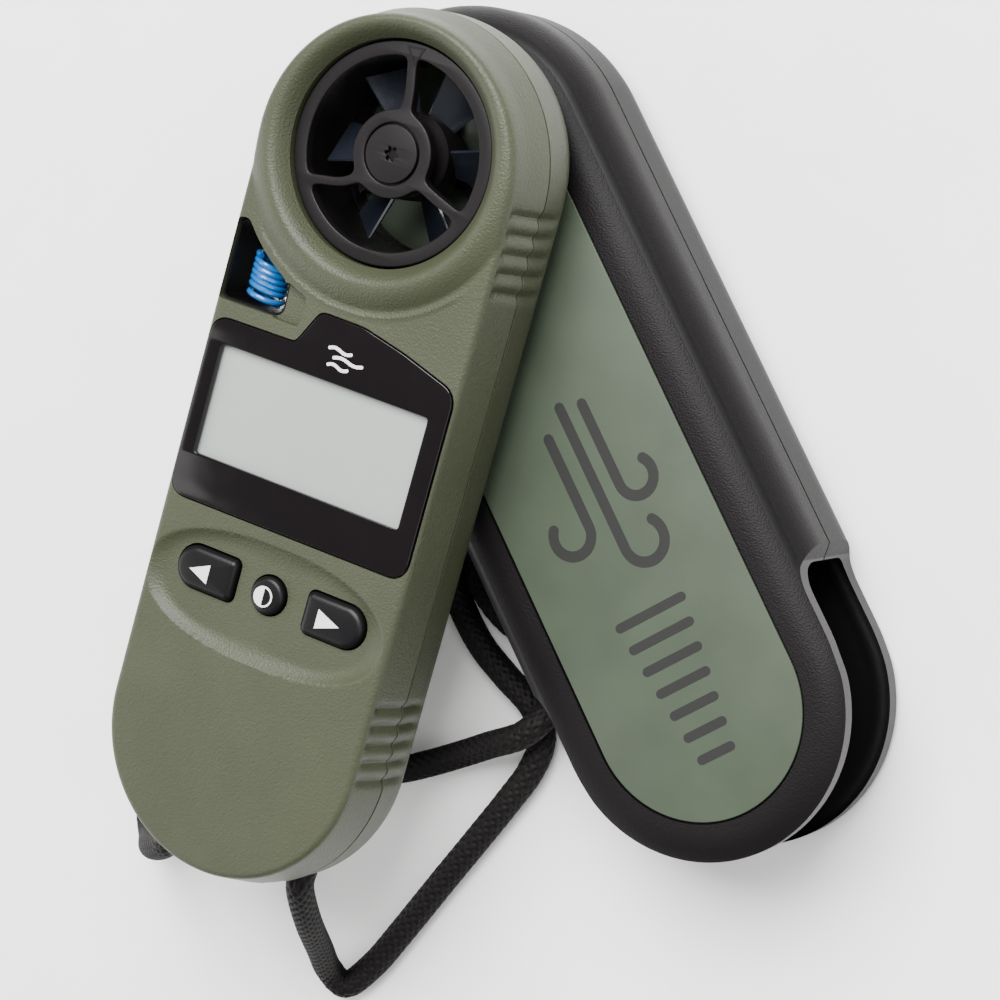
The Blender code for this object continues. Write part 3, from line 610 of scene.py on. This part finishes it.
def housings():
    """The two olive shells, with every opening that shows."""
    window = softened(WINDOW, 0.3, 6)
    facet = [(-10.4, -24.1), (-6.1, -24.1), (-5.9, -20.1), (-9.3, -18.8), (-12.0, -20.0)]
    fine = {"arc_steps": 200, "straight_step": 0.28}
    front = stadium_sweep(front_profile(), shape=front_shape, **fine)
    front = carved(
        front,
        [
            drum(IMPELLER_AT, BORE_R, BELOW, ABOVE),
            plate([window], BELOW, ABOVE),
            plate([softened(facet, 0.3, 4)], 1.0, 6),
            plate([grown(softened(LENS), 0.22)], FACE_Z - 0.85, 8),
            plate([rectangle(DISPLAY_AT, 34.8, 18.8)], -3, FACE_Z),
            plate([BAY], BACK_Z, FACE_Z - 2.4),
            plate([grown(arrow_key(-1), KEY_GAP)], -3, 8),
            plate([grown(round_key(), KEY_GAP)], -3, 8),
            plate([grown(arrow_key(1), KEY_GAP)], -3, 8),
            *lanyard_holes(),
        ],
    )
    finish(front, "front_shell", "olive_shell", "meter", METER, ["front_housing"])
    rear_rows = half_profile(BODY_R, SEAM_Z - SEAM_GAP / 2, BACK_Z, BACK_RIM, 0.4)
    rear = stadium_sweep(rear_rows, shape=rear_shape, **fine)
    recess_top = BACK_Z + SCREW_RECESS_DEPTH
    rear = carved(
        rear,
        [
            drum(IMPELLER_AT, BORE_R, BELOW, ABOVE),
            plate([window], BELOW, ABOVE),
            plate([BAY], BACK_Z + 4.6, 0),
            drum(CELL_AT, DOOR_BAY_R, BELOW, DOOR_LEDGE_Z),
            drum(CELL_AT, CELL_BAY_R, -12, -5),
            *[drum(at, SCREW_RECESS_R, BELOW, recess_top, 32) for at in SCREWS_AT],
            *lanyard_holes(),
        ],
    )
    finish(rear, "rear_shell", "olive_shell", "meter", METER, ["rear_housing"])


def probe():
    """The opening, with a thin black sheet inside its olive walls as painted shade, and its fine blue
    coil.
    """
    outer = softened(grown(softened(WINDOW, 0.3, 6), -0.06), 0.3, 1)
    inner = softened(grown(outer, -0.25), 0.3, 1)
    # A thin near-black sheet just inside the opening's olive walls: painted shade for the shadow that
    # falls in the opening, not a real part.
    painted_shade_walls = plate([outer, inner], -12.0, 0.9)
    finish(painted_shade_walls, "window_painted_shade", "smooth_black_and_painted_shade", "meter")
    tight_turns, tight_pitch, loose_turns, loose_pitch, steps = 5.0, 0.80, 1.7, 1.25, 28
    points = []
    along = 2.5
    for i in range(int((tight_turns + loose_turns) * steps) + 1):
        angle = 2 * math.pi * i / steps + 2.0
        along -= (tight_pitch if i < tight_turns * steps else loose_pitch) / steps
        slant = 0.55 * math.cos(angle)
        offset = (COIL_R * math.cos(angle), along - slant, COIL_R * math.sin(angle))
        points.append(COIL_AT + Vector(offset))
    coil = tube(points, COIL_WIRE_R, 10)
    finish(coil, "probe_coil", "blue_wire", "meter", METER, ["temperature_sensor_coil"])


# ---------------------------------------------------------------- display and keys


def display():
    """The black lens with three generic wavy strokes, and the panel behind its opening."""
    opening = softened(rectangle(DISPLAY_AT, *DISPLAY_SIZE), 0.2, 6)
    lens = plate([softened(LENS), opening], LENS_LOW, LENS_TOP, LENS_EDGE)
    finish(lens, "lens_plate", "lens", "meter", METER, ["display_lens"])
    strokes = ((-0.6, -25.2, 3.4), (0.4, -26.3, 4.4), (-0.2, -27.4, 3.0))
    for i, (x, y, length) in enumerate(strokes):
        run = [(x + length * j / 12, y + 0.22 * math.sin(math.pi * j / 6)) for j in range(13)]
        stroke = plate([ribbon(run, 0.45)], 2.2, 2.42)
        finish(stroke, f"lens_mark_{i + 1}", "white_print", "meter")
    panel = plate([rectangle(DISPLAY_AT, *LCD_SIZE)], LCD_LOW, LCD_TOP, 0.05)
    finish(panel, "lcd_panel", "lcd", "meter", METER, ["lcd_glass"])


def pillow(outline, low, top, rim=0.9):
    """A key: straight sides, a rounded rim and a slightly domed top."""
    rings = [[(x, y, low) for x, y in outline]]
    steps = 6
    for i in range(steps + 1):
        angle = math.pi / 2 * i / steps
        inset = rim * (1 - math.cos(angle))
        z = top - KEY_DOME - rim * (1 - math.sin(angle))
        rings.append([(x, y, z) for x, y in grown(outline, -inset)])
    middle = np.mean(np.array(outline), axis=0)
    last = np.array(rings[-1])
    for share in (0.8, 0.6, 0.4, 0.2):
        z = top - KEY_DOME * share**2
        rings.append([(*(middle + (p[:2] - middle) * share), z) for p in last])
    return loft(rings)


def keys():
    """The three keys, each with its white symbol standing just proud of it."""
    marks = {
        "left_key": [(-9.6, KEYS_Y - 1.6), (-9.6, KEYS_Y + 1.1), (-12.7, KEYS_Y - 0.3)],
        "right_key": [(8.1, KEYS_Y + 1.1), (8.1, KEYS_Y - 1.6), (11.7, KEYS_Y - 0.3)],
    }
    for side, node_name, body in (
        (-1, "left_button", "left_key"),
        (1, "right_button", "right_key"),
    ):
        key = pillow(arrow_key(side), KEY_LOW, KEY_TOP)
        finish(key, f"{body}_cap", "key_rubber", body, METER, [node_name])
        mark = plate([marks[body]], KEY_TOP - 0.4, KEY_TOP + 0.06)
        finish(mark, f"{body}_arrow", "white_print", body)
    key = pillow(round_key(), KEY_LOW, KEY_TOP, 0.7)
    stands_for = ["backlight_button"]
    finish(key, "middle_key_cap", "key_rubber", "middle_key", METER, stands_for)
    at = (MIDDLE_KEY_X - 0.3, KEYS_Y - 0.2)
    ring = [circle(at, 1.45, 60), circle(at, 1.2, 60)]
    mark = plate(ring, KEY_TOP - 0.4, KEY_TOP + 0.06)
    finish(mark, "middle_key_ring", "white_print", "middle_key")
    mark = plate([arc(at, 1.3, 90, 270, 30)], KEY_TOP - 0.4, KEY_TOP + 0.05)
    finish(mark, "middle_key_half", "white_print", "middle_key")


# ---------------------------------------------------------------- impeller


def spoke_angle(spoke, share):
    """The spoke's angle, from the hub at 0 to the ring at 1."""
    at_ring, at_hub = spoke
    return math.radians(at_hub + (at_ring - at_hub) * smoothstep(share))


def grille_hole(before, after):
    """The opening between two spokes, anticlockwise from the first."""
    hub_r, ring_r, steps = GRILLE_HUB_R, DUCT_INNER_R, 16
    start, end = [], []
    for i in range(steps + 1):
        share = i / steps
        radius = hub_r + (ring_r - hub_r) * share
        first = spoke_angle(before, share) + SPOKE_HALF_WIDTH / radius
        last = spoke_angle(after, share) - SPOKE_HALF_WIDTH / radius
        if last < first:
            last += 2 * math.pi
        start.append((radius, first))
        end.append((radius, last))
    polar = start
    polar += [(ring_r, start[-1][1] + (end[-1][1] - start[-1][1]) * i / 40) for i in range(1, 40)]
    polar += end[::-1]
    polar += [(hub_r, end[0][1] + (start[0][1] - end[0][1]) * i / 20) for i in range(1, 20)]
    return softened([around(IMPELLER_AT, radius, angle) for radius, angle in polar], 0.2, 26)


def impeller():
    """The round frame with its three curved spokes, and the cap with a six-lobed socket."""
    rim = circle(IMPELLER_AT, DUCT_R, 180)
    cap_hole = circle(IMPELLER_AT, 4.1, 60)
    holes = [grille_hole(a, b) for a, b in zip(SPOKES, SPOKES[1:] + SPOKES[:1])]
    grille = plate([rim, *holes, cap_hole], -0.7, 1.0, 0.25)
    stands_for = ["impeller_frame_front"]
    finish(grille, "impeller_grille", "black_plastic", "meter", METER, stands_for)
    outer = [(DUCT_R, DUCT_TOP), (DUCT_R, DUCT_LOW)]
    inner = [(DUCT_INNER_R, DUCT_LOW), (DUCT_INNER_R, DUCT_TOP)]
    finish(turned(outer + inner, IMPELLER_AT), "duct_wall", "smooth_black_and_painted_shade", "meter")
    core = drum(IMPELLER_AT, 5.2, -1.6, 0.5)
    finish(core, "hub_core", "smooth_black_and_painted_shade", "meter")
    lobes = []
    for i in range(72):
        angle = 2 * math.pi * i / 72
        lobes.append(around(IMPELLER_AT, 0.85 + 0.2 * math.cos(6 * angle), angle))
    cap = plate([circle(IMPELLER_AT, 3.85, 60), lobes], 0.4, 1.12, 0.12)
    finish(cap, "hub_cap_disc", "black_plastic", "meter", METER, ["hub_cap"])
    tip, left, right = (-0.2, 13.2), (-1.9, 15.7), (0.9, 15.9)
    outside = [tip, right, left]
    middle = np.mean(np.array(outside), axis=0)
    inside = [tuple(middle + (np.array(p) - middle) * 0.72) for p in outside]
    finish(plate([outside, inside], 0.8, 1.08), "alignment_mark", "black_plastic", "meter")


def blade_section(share, turn):
    """A blade's section, from the hub at 0 to the tip at 1: thinner outwards, and pitched."""
    root_r = ROTOR_HUB_R - 0.6
    radius = root_r + (BLADE_TIP_R - root_r) * share
    lead = 2.0 + 1.7 * share
    trail = lead if share < 0.9 else lead * (1.25 - 0.75 * share) / 0.58
    half = 0.30 - 0.10 * share
    front = [(-trail, -half), (lead, -half), (lead + 0.1, 0)]
    back = [(lead, half), (-trail, half), (-trail - 0.1, 0)]
    section = []
    for along, out in front + back:
        across = along * math.cos(BLADE_PITCH) - out * math.sin(BLADE_PITCH)
        z = ROTOR_Z + along * math.sin(BLADE_PITCH) + out * math.cos(BLADE_PITCH)
        section.append((*around(IMPELLER_AT, radius, turn + across / radius), z))
    return section


def rotor():
    """The vane rotor: six thin pitched blades on a drum."""
    for i in range(BLADES):
        turn = FIRST_BLADE + 2 * math.pi * i / BLADES
        blade = loft([blade_section(share, turn) for share in (0.0, 0.25, 0.5, 0.75, 0.92, 1.0)])
        stands_for = ["impeller_rotor"] if i == 0 else ()
        finish(blade, f"rotor_blade_{i + 1}", "blade", "impeller", METER, stands_for)
    low, high, shoulder = -8.6, -3.4, ROTOR_HUB_R - 0.4
    upper = [(shoulder, high), (ROTOR_HUB_R, -3.9)]
    lower = [(ROTOR_HUB_R, -8.2), (shoulder, low), (0.0, low), (0.0, high)]
    finish(turned(upper + lower, IMPELLER_AT, 64), "rotor_hub", "black_plastic", "impeller")


# ---------------------------------------------------------------- cover


def cutaway():
    """What is cut off the cover's open end: the sides end in a step, and the faces in a lip."""
    side = [
        (LIP_R, CUTAWAY_Y - 4.6),
        (LIP_R + 0.5, CUTAWAY_Y - 2.0),
        (COVER_R - 0.9, CUTAWAY_Y - 0.9),
        (COVER_R + 0.3, CUTAWAY_Y),
        (COVER_R + 0.9, CUTAWAY_Y + 2.4),
        (CUTAWAY_REACH, CUTAWAY_Y + 2.4),
    ]
    lip = arc((0, -BODY_SPAN), LIP_R, -12, -168, 60)
    outline = side[::-1] + [(LIP_R, -BODY_SPAN)] + lip
    outline += [(-LIP_R, -BODY_SPAN)] + [(-x, y) for x, y in side]
    outline += [(-CUTAWAY_REACH, -120), (CUTAWAY_REACH, -120)]
    return plate([softened(outline, 0.4, 8)], -40, 20)


def cavity(ceiling, floor):
    """The room inside the cover."""
    upper = half_profile(CAVITY_R, COVER_SEAM, ceiling, CAVITY_RIM, 3.0, lip=0)[:-3]
    lower = half_profile(CAVITY_R, COVER_SEAM, floor, CAVITY_RIM, 3.0, lip=0)[:-3]
    return stadium_sweep(upper + lower[::-1], arc_steps=60, straight_step=4.0)


def smooth_inside(shell, ceiling, floor):
    """Gives the faces of the cavity their own smoother material."""
    shell.data.materials.append(LOOKS["smooth_black_and_painted_shade"])
    inwards = COVER.inverted()
    for polygon in shell.data.polygons:
        x, y, z = inwards @ polygon.center
        reach = math.hypot(x, y - min(0.0, max(-BODY_SPAN, y)))
        if floor - 0.1 < z < ceiling + 0.1 and reach < CAVITY_R + 0.05:
            polygon.material_index = 1


def cover():
    """The hard cover: two shells, open at the lower end, and the green inlay."""
    ceiling, floor = -COVER_SKIN, -COVER_THICKNESS + COVER_SKIN
    shells = (
        ("cover_front", 0.0, COVER_SEAM + SEAM_GAP / 2, COVER_FACE_RIM, "cover_front_shell"),
        ("cover_rear", -COVER_THICKNESS, COVER_SEAM - SEAM_GAP / 2, COVER_BACK_RIM, "cover_rear_shell"),
    )
    for name, face, edge, rim, node_name in shells:
        shell = stadium_sweep(half_profile(COVER_R, edge, face, rim, 2.0), straight_step=2.0)
        tools = [cavity(ceiling, floor), cutaway()]
        if face == 0.0:
            tools.append(plate([stadium(INLAY_R + 0.3)], -0.7, 5))
        shell = carved(shell, tools)
        finish(shell, name, "grained_black", "cover", COVER, [node_name])
        smooth_inside(shell, ceiling, floor)
    inlay = plate([stadium(INLAY_R)], -0.5, -0.02, 0.12)
    finish(inlay, "inlay_plate", "cover_inlay", "cover", COVER, ["cover_inlay"])
    wind_mark()


def ribbon(points, width):
    """The outline of a stroke with round ends, along a run of points."""
    points = np.array(points, float)
    along = np.gradient(points, axis=0)
    along /= np.hypot(*along.T)[:, None]
    across = np.stack([-along[:, 1], along[:, 0]], axis=1) * width / 2
    angle = math.degrees(math.atan2(along[-1][1], along[-1][0]))
    end = arc(points[-1], width / 2, angle - 90, angle + 90, 8)
    angle = math.degrees(math.atan2(along[0][1], along[0][0]))
    start = arc(points[0], width / 2, angle + 90, angle + 270, 8)
    right = [tuple(p) for p in points - across]
    left = [tuple(p) for p in points + across]
    return right + end + left[::-1] + start


def gust(length, curl, offset, top):
    """A wind stroke: a straight run that curls over at its end."""
    run = [(offset, top - length * i / 10) for i in range(11)]
    centre = (offset + curl, top - length)
    start, sweep = (180, 220) if curl > 0 else (0, -220)
    hook = arc(centre, abs(curl), start, start + sweep, 24)
    return ribbon(run + hook[1:], 1.5)


def wind_mark():
    """Generic wind strokes and a row of bars, inlaid in the cover's face."""
    strokes = [gust(12, 2.6, 3.8, -37.0), gust(21, 3.0, 0.6, -36.0), gust(13, -2.8, -2.8, -39.0)]
    for i in range(7):
        y = -66.0 - 3.4 * i
        half = 5.0 - 0.45 * i
        strokes.append(ribbon([(-half, y), (0, y), (half, y)], 1.3))
    for i, stroke in enumerate(strokes):
        finish(plate([stroke], -0.3, 0.0), f"wind_mark_{i + 1}", "inlay_mark", "cover", COVER)


# ---------------------------------------------------------------- lanyard


def smooth_route(points, spacing):
    """Evenly spaced points along a Catmull-Rom curve through the given ones."""
    points = [Vector(p) for p in points]
    guides = [2 * points[0] - points[1], *points, 2 * points[-1] - points[-2]]
    fine = [points[0]]
    for a, b, c, d in zip(guides, guides[1:], guides[2:], guides[3:]):
        for i in range(1, 13):
            t = i / 12
            bend = 2 * a - 5 * b + 4 * c - d
            twist = 3 * b - a - 3 * c + d
            fine.append((2 * b + (c - a) * t + bend * t**2 + twist * t**3) / 2)
    fine = np.array(fine)
    fine[:, 2] = np.maximum(fine[:, 2], CORD_Z)
    lengths = np.concatenate([[0], np.cumsum(np.linalg.norm(np.diff(fine, axis=0), axis=1))])
    at = np.linspace(0, lengths[-1], round(lengths[-1] / spacing) + 1)
    return [Vector(p) for p in np.stack([np.interp(at, lengths, fine[:, i]) for i in range(3)], axis=1)]


def racetrack(share, radius):
    """A point of the hank's turn, from the lower right, anticlockwise, by share of a turn."""
    x, y = HANK_AT
    half = HANK_STRAIGHT / 2
    side, bend = HANK_STRAIGHT, math.pi * radius
    along = (share % 1.0) * 2 * (side + bend)
    if along < side:
        return x + radius, y - half + along
    if along < side + bend:
        angle = (along - side) / radius
        return x + radius * math.cos(angle), y + half + radius * math.sin(angle)
    if along < 2 * side + bend:
        return x - radius, y + half - (along - side - bend)
    angle = math.pi + (along - 2 * side - bend) / radius
    return x + radius * math.cos(angle), y - half + radius * math.sin(angle)


def hank_turns():
    """Four turns: outer and inner below, then inner and outer above."""
    turns, steps = [], 60
    for i in range(int(0.24 * steps), int(3.9 * steps) + 1):
        s = i / steps
        into = smoothstep((s - 1.02) / 0.2) - smoothstep((s - 2.85) / 0.2)
        rise = smoothstep((s - 1.84) / 0.2)
        radius = HANK_OUTER - 2 * CORD_R * float(into)
        turns.append(Vector((*racetrack(s, radius), HANK_LOW + HANK_RISE * float(rise))))
    return turns


def lanyard_route():
    """From the right hole over the ground to the hank, its turns, and back to the left hole."""
    out = [
        (10.8, -96.2, -8.3),
        (10.8, -99.6, -8.6),
        (9.9, -106.1, -15.5),
        (8.2, -112.8, -25.0),
        (7.4, -117.6, -31.4),
        (9.6, -119.7, CORD_Z),
        (12.9, -115.2, CORD_Z),
        (15.6, -109.4, CORD_Z),
        (19.7, -99.8, CORD_Z),
        (23.3, -91.5, CORD_Z),
        (26.4, -84.2, CORD_Z),
        (28.4, -78.8, CORD_Z),
        (28.7, -74.0, CORD_Z),
        (25.9, -70.1, CORD_Z),
        (20.6, -67.4, CORD_Z),
        (15.6, -64.5, CORD_Z),
        (11.4, -60.6, CORD_Z + 0.2),
        (7.6, -55.8, CORD_Z + 0.6),
        (4.0, -50.8, HANK_LOW),
    ]
    back = [
        (2.2, -88.2, CORD_Z + 4.2),
        (9.0, -85.9, CORD_Z + 2.6),
        (13.6, -83.2, CORD_Z + 1.6),
        (18.3, -79.9, CORD_Z + 1.2),
        (22.6, -76.8, CORD_Z + 3.0),
        (25.9, -74.6, CORD_Z + 4.3),
        (27.6, -73.2, CORD_Z + 4.4),
        (29.3, -70.8, CORD_Z + 4.2),
        (30.1, -67.8, CORD_Z + 2.6),
        (29.0, -64.5, CORD_Z + 0.8),
        (26.8, -62.2, CORD_Z),
        (23.6, -60.8, CORD_Z),
        (19.4, -60.0, CORD_Z),
        (15.2, -57.9, CORD_Z),
        (11.4, -54.2, CORD_Z),
        (6.6, -45.0, CORD_Z),
        (-2.8, -34.6, CORD_Z),
        (-14.0, -31.0, CORD_Z),
        (-26.0, -36.0, CORD_Z),
        (-31.8, -48.0, CORD_Z),
        (-31.9, -70.0, CORD_Z),
        (-32.0, -90.0, CORD_Z),
        (-31.7, -101.5, CORD_Z),
        (-29.8, -107.6, CORD_Z + 0.3),
        (-25.8, -109.2, -29.3),
        (-18.6, -106.4, -17.8),
        (-12.2, -102.4, -10.0),
        (-10.8, -99.0, -8.3),
        (-10.8, -96.2, -8.3),
    ]
    return [*out, *hank_turns(), *back]


def carried_frames(points):
    """At each point of a run, two directions across it that don't twist along the way."""
    points = np.array(points, float)
    along = np.gradient(points, axis=0)
    along /= np.linalg.norm(along, axis=1)[:, None]
    side = np.cross(along[0], (0.3, 0.2, 1.0))
    frames = []
    for direction in along:
        side = side - direction * side.dot(direction)
        side /= np.linalg.norm(side)
        frames.append((side, np.cross(direction, side)))
    return points, frames


def tube(points, radius, sides, relief=None):
    """A tube along a run of points. relief gives the radius at a length and an angle."""
    points, frames = carried_frames(points)
    lengths = np.concatenate([[0], np.cumsum(np.linalg.norm(np.diff(points, axis=0), axis=1))])
    angles = np.arange(sides) * 2 * math.pi / sides
    rows = []
    for point, (side, over), length in zip(points, frames, lengths):
        radii = radius if relief is None else relief(length, angles)
        offset = np.outer(np.cos(angles) * radii, side) + np.outer(np.sin(angles) * radii, over)
        rows.append(point + offset)
    faces = [tuple(range(sides))[::-1]]
    for j in range(len(rows) - 1):
        for i in range(sides):
            k = (i + 1) % sides
            faces.append((j * sides + i, j * sides + k, (j + 1) * sides + k, (j + 1) * sides + i))
    faces.append(tuple((len(rows) - 1) * sides + i for i in range(sides)))
    mesh = bpy.data.meshes.new("tube")
    mesh.from_pydata(np.concatenate(rows).tolist(), [], faces)
    return new_object(mesh)


def braid(length, angles):
    """The cord's radius where its two sets of strands cross over each other."""
    turn = 2 * math.pi * length / BRAID_PITCH
    one, other = BRAID_STRANDS * angles + turn, BRAID_STRANDS * angles - turn
    weave = np.maximum(np.cos(one), np.cos(other))
    return CORD_R - BRAID_RELIEF * (1 - weave)


def lanyard():
    """One braided cord through its whole route."""
    route = smooth_route(lanyard_route(), 0.22)
    cord = tube(route, CORD_R, 50, braid)
    stands_for = ["lanyard_cord", "lanyard_hank", "lanyard_cord_return"]
    finish(cord, "braided_cord", "cord", "meter", METER, stands_for, smooth=60)


# ---------------------------------------------------------------- inner pieces and studio


def dress_cad_parts():
    """The pieces whose CAD shape is fine enough, in their own materials."""
    shown = {s["node"]: s["material_slot"] for s in frame["record"]["subparts"]}
    for name, slot in shown.items():
        obj = frame["nodes"][name]
        obj.data.materials.clear()
        obj.data.materials.append(LOOKS[slot])


def studio():
    """A pale floor, one large soft key light beyond the impeller end and two soft fills."""
    bpy.ops.mesh.primitive_plane_add(size=6.0, location=(0, 0, -0.0002))
    floor = bpy.context.object
    floor.name = "floor"
    floor.data.materials.append(
        surface("floor", (0.90, 0.90, 0.89), 0.85, 2.0, 0.002, mottle=0.01)
    )
    target = METER @ Vector((25, -40, -10))
    lights = (
        ("key", (-0.10, 0.72, 1.05), 0.9, 0.7, 34.0),
        ("fill_right", (0.85, 0.15, 0.85), 0.9, 0.8, 5.0),
        ("fill_left", (-0.95, -0.45, 0.40), 0.9, 0.9, 9.0),
    )
    for name, offset, distance, size, power in lights:
        data = bpy.data.lights.new(name, "AREA")
        data.shape = "SQUARE"
        data.size = size
        data.energy = power
        obj = bpy.data.objects.new(name, data)
        direction = Vector(offset).normalized()
        obj.location = target + direction * distance
        obj.rotation_euler = (-direction).to_track_quat("-Z", "Y").to_euler()
        bpy.context.scene.collection.objects.link(obj)
    world = bpy.data.worlds.new("studio")
    world.use_nodes = True
    world.node_tree.nodes["Background"].inputs["Color"].default_value = (1.0, 1.0, 1.0, 1.0)
    world.node_tree.nodes["Background"].inputs["Strength"].default_value = 0.42
    bpy.context.scene.world = world


camera()
lanyard()
dress_cad_parts()
housings()
probe()
display()
keys()
impeller()
rotor()
cover()
studio()
